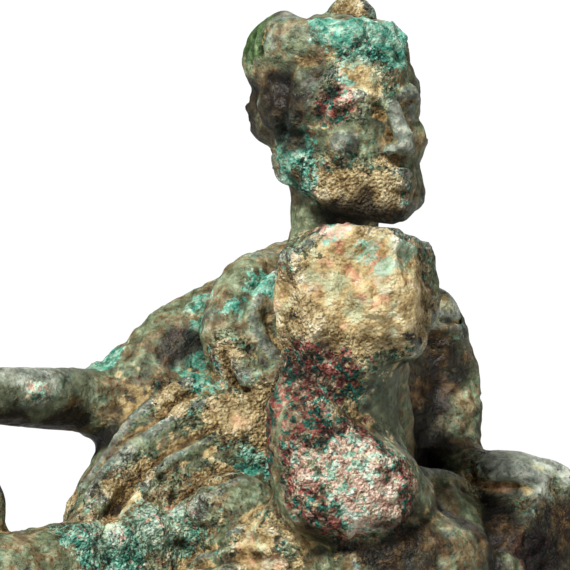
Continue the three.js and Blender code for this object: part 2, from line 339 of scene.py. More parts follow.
for wing in WINGS:
    x, y, z = wing["centre"]
    thick, _, tall = wing["radii"]
    wax.add(1.1, *on_head(Lump(wing["centre"], wing["radii"], turn=(WINGS_SWEPT, wing["lean"], 0))))
    outer = math.copysign(thick, x)
    for feather in range(FEATHERS):
        back = y - 1.2 + FEATHER_PITCH * feather
        top = z + tall * 0.55 - 0.4 * feather
        parting = Limb((x + outer * 1.05, back + 0.5, top - 2.6, 0.22), (x + outer * 0.85, back, top, 0.26))
        wax.cut(0.4, *on_head(parting))

# The neck, the shoulders and the trunk, most of it under the cloak.
neck = Limb((7.2, 7.5, 62, 4.1), (7.0, 9, 54, 4.3))
shoulders = Limb((0.5, 9.5, 50.5, 3.2), (6.8, 9.2, 53.4, 4.0), (14, 10, 51, 2.8))
trunk = Lump((7.2, 11, 42.5), (9.7, 6.6, 13.5))
wax.add(1.4, neck, shoulders, trunk)

# The right arm is held out, its upper part wrapped in the cloak, and the fist grips the neck of a purse
# that rests on the right knee. The purse is tied at its neck, and its leather falls in pleats.
FINGERS = 4
PURSE_PLEATS = 9
upper_arm = Limb((-2.6, 8, 50.3, 4.7), (-8.0, 6, 47.1, 4.2), (-13.0, 4, 42.8, 2.8))
forearm = Limb((-13, 4, 43.3, 2.8), (-18.8, 0.1, 43.6, 2.75), (-24.6, -3.8, 43.4, 2.4))
palm = Lump((-27.2, -5.4, 42.9), (3.0, 2.4, 2.5), turn=(0, 0, 35))
thumb = Limb((-25.0, -4.6, 44.8, 0.9), (-26.2, -7.4, 44.6, 0.85), (-27.9, -8.7, 43.9, 0.75))
wax.add(1.6, upper_arm, forearm)
wax.add(0.8, palm)
for finger in range(FINGERS):
    x = -29.2 + 1.15 * finger
    y = -6.8 - 0.8 * (1.5 - finger)
    wax.add(0.3, Limb((x, y + 1.6, 45, 0.75), (x, y - 0.9, 43.6, 0.8), (x + 0.2, y - 0.4, 41.3, 0.75)))
wax.add(0.4, thumb)

purse_neck = Limb((-27, -6.2, 42, 1.5), (-26.2, -6.8, 38, 1.7))
purse_body = Lump((-25.6, -7.2, 33.2), (4.4, 4, 4.9))
purse_tie = Limb(*oval((-26.3, -6.7, 38.2), 1.7, 1.6, 0.4, np.linspace(0, 6.3, 9)))
wax.add(1.0, purse_neck, purse_body)
wax.add(0.3, purse_tie)
for pleat in range(PURSE_PLEATS):
    angle = 2 * math.pi * pleat / PURSE_PLEATS
    side, front = math.cos(angle), math.sin(angle)
    wax.cut(
        0.5,
        Limb(
            (-26.1 + 1.8 * side, -6.9 + 1.8 * front, 37.8, 0.2),
            (-25.8 + 3.5 * side, -7.1 + 3.3 * front, 36.0, 0.3),
            (-25.6 + 4.5 * side, -7.2 + 4.1 * front, 33.6, 0.15),
        ),
    )

# The left arm hangs straight down out of a short sleeve, and its open hand lies flat on the rock.
SLEEVE_ROUND = np.linspace(-3.0, 0.6, 9)
left_arm = Limb((15.9, 10, 51.6, 2.9), (17.7, 11.5, 46, 3.0), (18.1, 9, 40, 2.4), (19.2, 6.5, 36.6, 2.6))
left_palm = Lump((22.3, 5, 37.3), (4.2, 2.7, 1.9))
left_thumb = Limb((20.6, 2.9, 37.2, 1.0), (23.0, 1.7, 37.2, 0.95), (25.0, 1.5, 36.4, 0.8))
wax.add(1.2, left_arm, left_palm)
for finger in range(FINGERS):
    y = 3.2 + 1.25 * finger
    wax.add(0.3, Limb((23.6, y, 37.6, 0.85), (26, y, 37.4, 0.95), (28, y, 36.5, 0.9)))
wax.add(0.4, left_thumb)
# the hem is a thin roll with a furrow along its upper edge
wax.add(0.4, Limb(*oval((16.0, 10.2, 50.5), 2.8, 2.9, 0.35, SLEEVE_ROUND)))
wax.cut(0.2, Limb(*oval((16.0, 10.2, 51.1), 2.8, 2.9, 0.22, SLEEVE_ROUND)))


# The left leg is drawn up, so that its knee stands in front of the chest, and its foot is worn to a stump.
# Corrosion has squared the knee off along flat faces, so it is a lump held back by planes round it.
class Hewn(Lump):
    def __init__(self, centre, radii, planes, turn=(0, 0, 0), power=3):
        super().__init__(centre, radii, turn, power)
        self.planes = [(np.array(normal, np.float32), reach) for normal, reach in planes]

    def distance(self, points):
        unit = self.unit(points)
        away = super().distance(points)
        for normal, reach in self.planes:
            steep = np.linalg.norm(normal / self.radii)
            away = np.maximum(away, (unit @ normal - reach) / steep)
        return away


KNEE_FACES = [
    ((-0.20, -0.97, 0.15), 0.88), ((0.86, -0.50, 0.06), 0.87), ((0.22, 0.00, 0.97), 0.90),
    ((-0.62, -0.35, 0.70), 1.12), ((-0.85, -0.50, -0.10), 1.00), ((0.10, -0.75, -0.65), 1.00),
    ((0.00, 0.55, 0.83), 0.92),
]
thigh = Limb((9.5, 9, 31, 6.6), (8.2, 0, 41.5, 5.6), (8.4, -8.5, 50.2, 5.0))
shin = Limb((7.8, -11.5, 48, 5.2), (7.4, -10.0, 42.2, 4.8), (7.6, -9.5, 37, 5.6))
knee = Hewn((8.9, -12.0, 51.4), (6.8, 5.9, 6.0), KNEE_FACES, power=3.4)
knee_crust = Lump((10.8, -14.6, 50.4), (3.3, 2.9, 2.8), power=3)
knee_edge = Limb(
    (3.5, -12.4, 53.6, 0.9), (3.2, -13.0, 49.8, 1.1), (3.4, -12.2, 45.6, 0.9), (2.6, -11.4, 42.6, 0.9)
)
knee_furrow = Limb((7.5, -18.9, 52.4, 0.5), (7.7, -18.2, 49.8, 0.9), (6.6, -17.2, 46.6, 1.0))
lost_under_knee = Lump((17.5, -12.5, 46.6), (3.0, 6.0, 3.6))
wax.add(1.6, thigh, shin)
wax.add(0.8, knee, knee_crust, knee_edge)
wax.cut(1.2, knee_furrow)
wax.cut(0.8, lost_under_knee)

# the foot: its ankle, its instep, its sole and the stump of its toes
wax.add(
    1.0,
    Lump((5.0, -12.0, 38.2), (3.7, 5.3, 6.4), turn=(0, -6, 0), power=2.4),
    Lump((8.6, -12.4, 35.6), (5.5, 6.2, 4.4), turn=(0, 28, 0), power=2.6),
    Lump((6.8, -12.8, 34.0), (4.7, 5.6, 3.6), turn=(0, 14, 0), power=2.4),
    Lump((12.8, -10.2, 34.2), (2.8, 4.8, 2.5), turn=(0, 34, 0)),
)

# The right leg is spread to the side, bent at the knee, with its foot on the ground.
TOES = 5
right_thigh = Limb((2.5, 8, 30, 7.6), (-9, 0, 27.5, 6.6), (-20.5, -9, 26.2, 5.2))
right_knee = Lump((-21.4, -10.2, 25.2), (4.9, 4.7, 4.9))
right_shin = Limb((-21.4, -10.5, 24, 4.6), (-22.0, -12.2, 17.5, 4.1), (-22.8, -14.5, 10.5, 2.8))
right_foot = Limb((-22.6, -13, 8.8, 2.7), (-23.2, -18, 8.4, 2.5), (-23.8, -21.4, 7.8, 1.9))
wax.add(1.4, right_thigh, right_knee, right_shin, right_foot)
for toe in range(TOES):
    x = -22.2 - 0.85 * toe
    wax.add(0.25, Limb((x, -20.6 + 0.35 * toe, 7.7, 0.5), (x - 0.1, -23.2 + 0.45 * toe, 7.2, 0.52)))


# The cloak: bunched on the right shoulder, over the lap and the right thigh, rolled under the left foot,
# and down the back in long folds. A fold is a ridge of cloth, pinched at both ends.
def fold(start, middle, end, thickness):
    return Limb((*start, thickness * 0.6), (*middle, thickness), (*end, thickness * 0.7))


# its mass, from the shoulder over the lap, under the foot, over the left hip and down the back
wax.add(
    1.4,
    Lump((1.8, 4.2, 50.2), (3.8, 4.6, 5.4)),
    Lump((-1.0, 6.2, 46), (4.6, 4.6, 6.2)),
    Limb((-6.0, 5, 40.2, 6.7), (-9.9, 2, 30.6, 7.5), (-11, -1, 25, 6.5)),
    Lump((-1, 3, 38), (7.5, 5.6, 9)),
    Lump((-1, -7, 26.6), (5, 5, 5)),
    Lump((14.1, 3, 29.3), (8, 8, 8)),
    Lump((12.0, -8.0, 28.2), (8.6, 8.0, 5.6), power=2.4),
    Lump((-1.8, -3.9, 32.4), (4.2, 3.7, 4.2)),
    Lump((2.8, -9.4, 30.6), (3.2, 3.2, 3.6)),
    Lump((-1.8, -0.2, 41.4), (3.0, 1.9, 2.0)),
    Lump((-0.2, 0.2, 43.8), (2.2, 1.6, 1.6)),
    Lump((7, 13.5, 40), (12, 6.4, 18), power=2.5),
)
# the roll on the shoulder, and the collar behind the neck
shoulder_roll = Limb(
    (4.2, 9, 54.0, 2.3), (0.2, 4.4, 54.5, 2.5), (-2.2, 1.6, 50.3, 2.4), (-0.8, 0.4, 45.8, 2.4),
    (3.2, 0.6, 44.4, 2.3),
)
collar = Limb((-1, 9, 54.6, 2), (7, 13, 57.9, 2.4), (14.8, 11, 53.6, 2))
wax.add(0.7, shoulder_roll, collar)
# the folds: from the shoulder to the right knee, round the foot and over the left hip
wax.add(
    0.6,
    fold((1.8, 1.4, 54.4), (-0.2, -0.4, 50), (2.4, -1, 45.8), 1.1),
    fold((-5.6, 0.2, 45), (-10.4, -0.4, 41.4), (-14.7, -0.6, 35.6), 0.9),
    fold((-3.4, -0.5, 42.8), (-9.6, -1.3, 39), (-16, -7.0, 29.6), 1.5),
    fold((0.4, -1.0, 40.8), (-6.6, -1.4, 38), (-12, -6.3, 30.4), 1.5),
    fold((1.8, -1.6, 36.8), (-4.6, -2.2, 34.2), (-9.8, -6.4, 29.4), 1.5),
    fold((-5, -9.2, 27.4), (-0.6, -9.6, 31), (3.4, -10.4, 27.6), 1),
    fold((12.4, -3, 37), (16.6, 0.4, 36.2), (20.6, 4, 34.8), 1),
    fold((13.6, -5, 32), (18.4, -3.6, 30.4), (21.6, 0, 27), 1.2),
)
# the back: long folds in a fan, with furrows between them
BACK_PLEATS = 4
BACK_MIDDLE = 7
BACK_FAN = (2.4, 4.6, 5.6)
for pleat in range(BACK_PLEATS):
    across = pleat - (BACK_PLEATS - 1) / 2
    at_collar, at_waist, at_seat = (BACK_MIDDLE + spread * across for spread in BACK_FAN)
    wax.add(0.8, fold((at_collar, 17, 54), (at_waist, 19.3, 41), (at_seat, 18.2, 26), 1.5))
for furrow in range(BACK_PLEATS + 1):
    across = furrow - BACK_PLEATS / 2
    at_collar, at_waist, at_seat = (BACK_MIDDLE + spread * across for spread in BACK_FAN)
    wax.cut(0.6, fold((at_collar, 18.6, 52), (at_waist, 20.6, 41), (at_seat, 19.6, 27), 0.7))


END_WIDTH = 0.55


def laid(radius, sunk, *points):
    """A roll along points (x, z) on the front of the wax, sunk into it by a share of its radius."""
    last = len(points) - 1
    stations = []
    for i, (x, z) in enumerate(points):
        width = radius * (END_WIDTH if i in (0, last) else 1)
        stations.append((x, wax.front(x, z) + width * sunk, z, width))
    return Limb(*stations)


# finer ridges over the lap, with furrows between them that kept the earth they lay in
LAP_SWELLINGS = [
    (-9.4, 31.6, 2.0), (-6.2, 32.2, 1.8), (-12.6, 30.6, 1.9), (-14.8, 30.2, 1.5), (-4.0, 33.4, 1.3),
]
wax.add(
    0.5,
    laid(1.0, 0.6, (-4.4, 42.8), (-7.5, 41.2), (-9.8, 39.2), (-12.2, 37.0), (-14.2, 34.6)),
    laid(1.6, 0.88, (1.2, 41.4), (-2.0, 40.7), (-4.8, 39.3), (-7.6, 37.4), (-10.2, 34.6)),
    laid(1.2, 0.9, (1.2, 38.6), (-1.6, 38.2), (-4.4, 37.2), (-7.0, 35.4), (-8.8, 33.2)),
    laid(1.0, 0.6, (-2.8, 34.6), (-5.4, 33.6), (-7.8, 32.2), (-9.8, 30.6)),
)
for x, z, size in LAP_SWELLINGS:
    wax.add(0.8, Lump((x, wax.front(x, z) + 0.55 * size, z), (1.2 * size, size, size)))
wax.cut(
    0.5,
    laid(0.45, -0.1, (-4.2, 44.2), (-6.6, 43.2), (-9.0, 41.2), (-11.4, 39.4)),
    laid(0.45, 0.1, (-3.2, 41.0), (-5.0, 40.1), (-7.2, 38.8), (-9.9, 36.6)),
    laid(0.5, -0.5, (-9.9, 36.8), (-11.2, 35.0), (-12.2, 33.2), (-12.9, 31.0)),
    laid(0.4, -0.5, (-3.6, 39.0), (-6.2, 37.7), (-8.2, 36.2)),
    laid(0.4, -0.2, (-1.0, 36.4), (-3.2, 36.0), (-5.4, 35.0), (-8.0, 33.2)),
    laid(0.5, -0.3, (-5.6, 29.6), (-3.2, 30.6), (-1.0, 31.0), (1.2, 30.6)),
    laid(0.5, -0.3, (-5.6, 28.2), (-3.4, 29.2), (-1.0, 29.6), (1.4, 29.2)),
    laid(0.4, -0.2, (-2.9, 47.6), (-2.2, 45.6), (-0.4, 43.9), (1.8, 43.2)),
)

# The rock: boulders broken along flat faces that turn round each of them.
FACE_TURN = 2.4
FACE_REACH = 0.84
FACE_UNEVEN = 0.12


def boulder(centre, radii, faces, seed):
    planes = []
    for i in range(faces):
        height = 1 - 2 * (i + 0.5) / faces
        angle = FACE_TURN * i + seed
        across = math.sqrt(1 - height**2)
        normal = (across * math.cos(angle), across * math.sin(angle), height)
        planes.append((normal, FACE_REACH + FACE_UNEVEN * math.sin(5.1 * i + seed)))
    return Hewn(centre, radii, planes)


wax.add(
    0.7,
    boulder((8, 7.5, 13), (25, 17, 17), 14, 1),
    boulder((23, 6.5, 22.5), (8.6, 10.5, 15), 12, 2),
    boulder((8.5, -8, 16), (12, 12.5, 16), 12, 3),
    boulder((-11, -2, 11), (15, 14, 16), 12, 4),
    Lump((-1.8, -3.6, 20.5), (4.2, 4.4, 5.5)),
)


# The pour: the flat sawn foot, then the skin of the field as a mesh.
def poured(wax):
    height = wax.low[2] + wax.step * np.arange(wax.counts[2], dtype=np.float32)
    wax.field = np.maximum(wax.field, FOOT - height)
    grid = openvdb.FloatGrid(FAR)
    grid.copyFromArray(wax.field)
    points, _, faces = grid.convertToPolygons(0.0, 0.0)
    return points * wax.step + wax.low, faces


def largest_piece(points, faces):
    """Leaves out bubbles and crumbs that hang free of the casting."""
    label = np.arange(len(points))
    while True:
        lowest = label[faces].min(1)
        before = label.copy()
        np.minimum.at(label, faces.ravel(), np.repeat(lowest, faces.shape[1]))
        label = label[label]
        if (label == before).all():
            break
    names, sizes = np.unique(label, return_counts=True)
    kept = label == names[sizes.argmax()]
    number = np.cumsum(kept) - 1
    return points[kept], number[faces[kept[faces[:, 0]]]]


def mesh_object(name, points, faces):
    mesh = bpy.data.meshes.new(name)
    mesh.from_pydata(points * MM, [], faces)
    mesh.update()
    mesh.shade_smooth()
    made = bpy.data.objects.new(name, mesh)
    bpy.context.scene.collection.objects.link(made)
    return made


PRIMES = (73856093, 19349663, 83492791)
SCRAMBLER = 1274126177


def noise(points, size, seed):
    """Soft random values from -1 to 1, in lumps of about the given size."""
    place = points / size + 31.7 * seed
    cell = np.floor(place).astype(np.int64)
    share = place - cell
    share = share * share * (3 - 2 * share)
    total = np.zeros(len(points))
    for corner in itertools.product((0, 1), repeat=3):
        x, y, z = ((cell + corner) * PRIMES).T
        mixed = x ^ y ^ z
        mixed = ((mixed ^ (mixed >> 13)) * SCRAMBLER) & 0xFFFFFFFF
        value = ((mixed ^ (mixed >> 16)) & 0xFFFF) / 0x7FFF - 1
        total += value * np.prod(np.where(corner, share, 1 - share), axis=-1)
    return total


def blurred(field, cells):
    """A field evened out over a cube of this many cells to each side."""
    for axis in range(3):
        total = np.zeros_like(field)
        for shift in range(-cells, cells + 1):
            total += np.roll(field, shift, axis)
        field = total / (2 * cells + 1)
    return field


SMALL_SPOT = 2.4


def spotted(points, spots):
    """How strongly points lie in any of the spots (x, y, z, radius), with ragged edges."""
    ragged = 0.55 * noise(points, 2.6, 3) + 0.45 * noise(points, 1.1, 4)
    strength = np.full(len(points), -1.0)
    for *middle, radius in spots:
        inside = radius - np.linalg.norm(points - middle, axis=-1)
        strength = np.maximum(strength, 0.5 + 2 * inside / max(radius, SMALL_SPOT) + ragged)
    return np.clip(strength, -1, 2)


# Where the corrosion lies, as the ground left it, and where shade and highlight are painted on. Each patch is
# given by its middle and its radius.

# powdery blue-green crust
TURQUOISE = [
    # head and cap
    (9.8, -1, 76.4, 3.6), (12.6, 0.5, 75.2, 2.6), (7, -0.6, 76.8, 1.8), (3, 1.6, 66.4, 2.8),
    (4, 2.2, 63.6, 2.6), (10, 12.5, 72, 3),
    # back and sides
    (2, 17.5, 47, 4), (16, 12, 30, 5), (24, 14, 18, 5),
    # right arm and purse
    (-14, 4.5, 47, 2.4),
    # left knee and foot
    (7.8, -17.4, 39.4, 1), (5.2, -17, 42.2, 0.8), (9.6, -17.4, 54.6, 1.2), (11, -17.2, 53.4, 1.2),
    (12.4, -16.6, 55, 1),
    # cloak
    (0.7, 0.4, 53.8, 1.5), (-1.6, 1, 51, 1.7), (-4.8, 2.4, 50.2, 1.5), (-4.6, 3.6, 52.4, 1.8),
    (-5.2, 2.2, 46.6, 1.8), (-4.6, 0.8, 44.8, 1.6), (-9, -5.4, 31.8, 2.6), (-6, -4.6, 31.6, 2.6),
    (-14.6, -8.8, 30.6, 2.4), (-11.6, -8, 29.8, 2.4), (-0.2, -2.4, 37.4, 1.4),
    # rock and right leg
    (-22, -13.5, 15, 4), (12, -17, 14, 4), (-8, -14, 16, 4),
]
# dark green crust
MALACHITE = [
    (0.8, 4.6, 76.6, 2.6), (0.3, -2.2, 34.6, 1.2), (-27, -10, 34, 3), (7, 19.5, 36, 4), (-20, 2, 12, 5),
    (25, -2, 14, 5),
]
# tan earth that is baked on
EARTH = [
    # head and cap
    (7.6, -0.5, 61.6, 2.8), (10.8, -0.6, 61.6, 2.2), (5.6, 0.8, 63.4, 1.2), (9.6, -1.2, 72, 2),
    (8.4, 7.2, 79.4, 1.8),
    # back and sides
    (10, 17, 26, 5), (-2, 12, 20, 6),
    # left arm and hand
    (17, 7.6, 53.4, 0.9),
    # left knee and foot
    (8.6, -17, 51.6, 6.4), (5.4, -16.6, 49.6, 4), (12.6, -16.4, 50.4, 3.6), (2.4, -14.2, 51.6, 2.6),
    (2.2, -13.4, 47.6, 1.8),
    # cloak
    (-6.9, -1.2, 43.4, 1.8), (0.8, -1.6, 42.2, 2.2), (-2.2, -2, 41.6, 2), (1.4, -2, 39.8, 1.8),
    (-2.6, -2, 41.4, 1.2), (-11.2, -5.2, 35, 1.6), (-12.6, -7, 31.4, 1.5), (-11.7, -6.2, 34, 1.4),
    (-9.6, -4.2, 37.2, 1), (-3.4, -3.6, 35.1, 1.7), (1, -10.4, 30.2, 2.6), (-2.5, -1.2, 47.3, 1.3),
    (-16, 1.4, 33.6, 2),
    # rock and right leg
    (-23, -4, 28, 3), (20, -6, 8, 6),
]
# red copper oxide
CUPRITE = [
    # head and cap
    (7.9, -0.6, 70.6, 1.7), (6.6, -0.4, 69, 1.4),
    # back and sides
    (5, 20, 44, 1.8),
    # right arm and purse
    (-19.2, -3.1, 44, 0.7),
    # left knee and foot
    (4.2, -16.8, 40.6, 1.9), (3.8, -16.8, 37.8, 1.9), (4.2, -14.8, 44.9, 3.2), (2.9, -13.6, 41.6, 2.8),
    (2.4, -12.4, 38.4, 2.8), (7, -16, 43.8, 2.2), (8, -18.2, 38, 3.8), (4.4, -17, 34.8, 2.8),
    (11.2, -18, 35.6, 2.4), (7.4, -18, 32.4, 3.2), (11.8, -17, 33.2, 2.4), (8.6, -15, 56.6, 1.5),
    (6.2, -15.2, 56.3, 1.3), (10.6, -15, 56.4, 1.1),
    # cloak
    (-7.6, -6.9, 32.4, 0.7), (-9.2, -6.8, 33.4, 0.4), (-11.3, -8.7, 31.4, 0.3), (-15.7, -9.8, 31.8, 0.6),
    (-3.6, -8.2, 31.2, 0.4), (-3, 1.2, 48.8, 1.1),
    # rock and right leg
    (24.4, -1, 29.6, 2.4), (15, -18, 20, 2.5),
]
# smooth metal with a thin skin
BARE = [
    (-20, -2, 43.6, 7.5), (11.8, -13, 43, 3.4), (1, 4.4, 77, 2.6), (12.8, -13.5, 39.6, 2.2),
    (17, 8, 52.8, 3), (24.4, 2.4, 37.8, 3.8), (11.6, -1.6, 67.8, 1.7), (-26, -8, 36, 5), (18, 18, 40, 4),
]
# dark dirt, and painted shade where shade falls: under the brim and the chin, under the right forearm, in the
# recess by the left arm, and under the left hand and foot
DIRT_AND_SHADE = [
    # head and cap
    (2.6, 1.8, 69.9, 3.2), (5.4, 0.4, 72, 1.4), (1, 8, 70.5, 3.6), (8.5, 1.5, 58.8, 3.4),
    (11.6, 1.4, 59.4, 2.4), (3, 1.6, 67.4, 1.6), (4.2, 2, 63.2, 1),
    # right arm and purse
    (-17, 0.5, 41.2, 2.6), (-22.2, -2.6, 40.6, 2.8), (-25.5, -4, 41.2, 2), (-12.6, 2.6, 40.4, 2.6),
    # left arm and hand
    (14.6, 6.5, 46, 4.6), (14.4, 5, 41.4, 4.6),
    # cloak
    (-6.8, 2.2, 48.4, 1.9), (5, -16, 31, 1.6), (2.8, 0.2, 45.2, 2),
    # rock and right leg
    (23, 0.6, 31, 3.6), (27, 0, 30, 4.8), (20, 3, 30, 4), (12, -13, 29.4, 4.6), (16.6, -8, 30.4, 4.8),
    (18.5, -4, 26, 5),
]
# where the crusts and the skin are bleached, and painted highlight on the tops of the right forearm, the left
# hand and the knob of the left arm
CHALK_AND_HIGHLIGHT = [
    # head and cap
    (9.6, -0.8, 71.8, 2.4),
    # right arm and purse, a painted highlight along the top of the forearm
    (-20, -2, 46.4, 3.2),
    # left arm and hand, painted highlight on the knob of the arm and the top of the hand
    (17, 8, 52.8, 2.4), (24.6, 2.4, 38, 4.6),
    # left knee and foot
    (2.6, -14.4, 51, 2), (11, -17.2, 53.8, 2.6), (6.4, -17.4, 54.4, 3.4), (11.4, -16.8, 50, 2.6),
    (8.4, -18.4, 35.6, 3.6), (5, -17.4, 36.4, 2.2), (9.6, -17.4, 32.6, 3), (6.2, -14.6, 41.4, 1.4),
    (8.4, -17.4, 51.4, 3),
    # cloak
    (0.8, -10.6, 29.6, 2.6), (-12, -6.4, 33.4, 1.6), (-1.2, -2.2, 41.2, 0.7), (-8, -5.5, 32.4, 3.6),
    (-13.5, -7.5, 31, 2.8),
]
# where the painted shade is black and not brown: under the brim, under the chin and under the right forearm
BLACKEST_SHADE = [
    (2.6, 1.8, 70, 2.8), (1.4, 6, 69.4, 3.2), (-19.6, -2.4, 40.4, 3.4), (-14, 1.2, 40.6, 2.4),
    (8.5, 1.5, 58.6, 3.2),
]
KINDS = {
    "soot": BLACKEST_SHADE, "chalk": CHALK_AND_HIGHLIGHT, "turquoise": TURQUOISE, "malachite": MALACHITE, "earth": EARTH,
    "cuprite": CUPRITE, "bare": BARE, "soil": DIRT_AND_SHADE,
}
FINE_BLUR, BROAD_BLUR = 0.9, 2.4
ROCK_TOP = 31

points, faces = largest_piece(*poured(wax))
near_skin = np.clip(wax.field, -FAR, FAR)
fine = blurred(near_skin, round(FINE_BLUR / GRID_STEP)) - near_skin
broad = blurred(near_skin, round(BROAD_BLUR / GRID_STEP)) - near_skin


def corroded(points, normals):
    """The skin pushed out where crusts grew and in where the metal was eaten away."""
    x, y, z = points.T
    crust = np.clip(np.maximum(spotted(points, TURQUOISE), spotted(points, CUPRITE)), 0, 1)
    clod = np.clip(np.maximum(spotted(points, EARTH), spotted(points, MALACHITE)), 0, 1)
    rock = np.clip((ROCK_TOP - z) / 6, 0, 1) * np.clip(x / 6 + 3, 0, 1)
    eaten = 1 - 0.85 * np.clip(spotted(points, BARE), 0, 1)
    crags = 1 - 2 * np.abs(noise(points, 1.3, 13))
    swell = eaten * (0.18 * noise(points, 2.0, 2) + 0.16 * noise(points, 1.0, 12) + 0.08 * crags)
    swell += crust * (0.24 * noise(points, 0.7, 5) + 0.2 * noise(points, 1.5, 6) + 0.14 * crags)
    swell += clod * (0.1 * noise(points, 0.7, 7) + 0.16 * noise(points, 1.6, 8))
    pits = np.clip(noise(points, 0.9, 11) - 0.35, 0, 1) * eaten * (0.6 + 0.4 * crust)
    # the rock, under z 24 to 28, and the back, behind y 11 to 14, are calmer, which also leaves more of
    # the faces for the front
    front = np.clip((z - 24) / 4, 0.3, 1) * np.clip((14 - y) / 3, 0.3, 1)
    broken = 0.35 * noise(points, 3.5, 9) - 0.3 * np.abs(noise(points, 6, 10))
    broad_swell = 0.14 * noise(points, 5, 1) + rock * broken
    return points + normals * (broad_swell + front * (swell - 0.9 * pits))[:, None]


casting = mesh_object("rough_casting", points, faces)
normals = np.zeros(3 * len(points), np.float32)
casting.data.vertex_normals.foreach_get("vector", normals)
points = corroded(points, normals.reshape(-1, 3))
points[:, 2] = np.maximum(points[:, 2], FOOT)
casting.data.vertices.foreach_set("co", (points * MM).astype(np.float32).ravel())
casting.data.update()

MOST_TRIANGLES = 196000
thin = casting.modifiers.new("fewer faces", "DECIMATE")
thin.ratio = min(1.0, MOST_TRIANGLES / (2 * len(faces)))
view = bpy.context.evaluated_depsgraph_get()
figure_mesh = bpy.data.meshes.new_from_object(casting.evaluated_get(view))
bpy.data.objects.remove(casting)
figure = bpy.data.objects.new("bronze_figure", figure_mesh)
bpy.context.scene.collection.objects.link(figure)

# the patina's own maps: where each kind of corrosion lies, and how hollow the skin is, for the earth and the
# painted shade in its hollows
places = np.zeros(3 * len(figure_mesh.vertices), np.float32)
figure_mesh.vertices.foreach_get("co", places)
places = places.reshape(-1, 3) / MM
maps = {kind: spotted(places, spots) for kind, spots in KINDS.items()}
hollow_fine = -wax.read(fine, places)
hollow_broad = -wax.read(broad, places)
maps["hollow"] = np.clip(0.5 + 2.2 * hollow_fine, 0, 1)
# how deep the skin lies in broad hollows: the patina paints shade there
maps["deep"] = np.clip(0.5 + 0.55 * hollow_broad, 0, 1)


def keep_maps(mesh, maps):
    for kind, values in maps.items():
        mesh.attributes.new(kind, "FLOAT", "POINT").data.foreach_set("value", values.astype(np.float32))


keep_maps(figure_mesh, maps)


class Wire:
    """A socket in a material's tree. Sums on it add Math nodes, and node adds any other."""

    def __init__(self, tree, socket=None):
        self.tree, self.socket = tree, socket

    def node(self, kind, settings, inputs, output=0):
        made = self.tree.nodes.new(kind)
        for name, value in settings.items():
            if name == "stops":
                set_stops(made.color_ramp, value)
            else:
                setattr(made, name, value)
        for name, value in inputs.items():
            if isinstance(value, Wire):
                self.tree.links.new(value.socket, made.inputs[name])
            else:
                made.inputs[name].default_value = value
        return None if output is None else Wire(self.tree, made.outputs[output])

    def math(self, operation, *values):
        return self.node("ShaderNodeMath", {"operation": operation}, dict(enumerate(values)))

    def __add__(self, other):
        return self.math("ADD", self, other)

    __radd__ = __add__

    def __mul__(self, other):
        return self.math("MULTIPLY", self, other)

    __rmul__ = __mul__

    def __sub__(self, other):
        return self.math("SUBTRACT", self, other)

    def __rsub__(self, other):
        return self.math("SUBTRACT", other, self)

    def most(self, other):
        return self.math("MAXIMUM", self, other)

    def step(self, low, high):
        """0 below low, 1 above high, and a soft change between them."""
        settings = {"interpolation_type": "SMOOTHSTEP"}
        return self.node("ShaderNodeMapRange", settings, {"Value": self, "From Min": low, "From Max": high})

    def between(self, a, b):
        """The colour a where this is 0, and b where it is 1."""
        return self.node("ShaderNodeMix", {"data_type": "RGBA"}, {0: self, 6: a, 7: b}, 2)

    def ramp(self, *stops):
        return self.node("ShaderNodeValToRGB", {"stops": stops}, {"Fac": self})

    def output(self, shader):
        self.node("ShaderNodeOutputMaterial", {}, {"Surface": shader}, None)


def set_stops(ramp, stops):
    while len(ramp.elements) < len(stops):
        ramp.elements.new(1.0)
    for element, (position, colour) in zip(ramp.elements, stops):
        element.position, element.color = position, colour


def paint(red, green, blue):
    """A colour from the 0 to 255 that a picture shows it with."""
    shown = [c / 255 for c in (red, green, blue)]
    return (*(((c + 0.055) / 1.055) ** 2.4 if c > 0.04 else c / 12.92 for c in shown), 1)


def shades(*colours):
    """Evenly spaced colours of a ramp, from dark to light."""
    return [(i / (len(colours) - 1), paint(*colour)) for i, colour in enumerate(colours)]


# each crust from its pits to its brightest grains
OLIVE_SKIN = shades((16, 14, 6), (54, 54, 33), (98, 105, 75), (144, 154, 120), (200, 206, 174))
BROWN_SKIN = shades((20, 12, 6), (62, 48, 28), (106, 90, 60), (154, 140, 104), (204, 194, 164))
WORN = shades((20, 18, 10), (50, 52, 36), (82, 88, 66), (112, 118, 92), (156, 160, 134))
POLISHED_AND_HIGHLIT = shades((40, 36, 24), (92, 94, 76), (140, 146, 126), (176, 182, 164), (220, 224, 208))
PLUM = shades((16, 13, 12), (42, 40, 38), (68, 71, 66), (104, 111, 102), (172, 176, 158))
TEAL = shades((4, 14, 8), (16, 60, 46), (58, 134, 112), (124, 190, 166), (200, 232, 208))
MINT = shades((16, 30, 20), (72, 110, 86), (130, 170, 144), (178, 208, 184), (224, 238, 220))
GREEN = shades((10, 14, 4), (32, 46, 20), (54, 78, 38), (84, 110, 64), (160, 176, 128))
SAND = shades((58, 40, 16), (146, 118, 70), (206, 182, 130), (234, 216, 168), (250, 240, 214))
OCHRE = shades((36, 26, 10), (88, 68, 36), (136, 114, 72), (182, 162, 118), (228, 214, 180))
RED = shades((28, 8, 4), (104, 44, 36), (172, 98, 86), (218, 160, 144), (240, 218, 202))
CREAM = shades((44, 32, 20), (116, 102, 78), (180, 166, 138), (218, 208, 180), (242, 236, 214))
UMBER = shades((16, 8, 2), (58, 38, 14), (108, 80, 40), (154, 124, 74), (196, 172, 124))
BLUSH = shades((90, 48, 30), (170, 110, 84), (216, 160, 132), (234, 194, 170), (248, 226, 208))
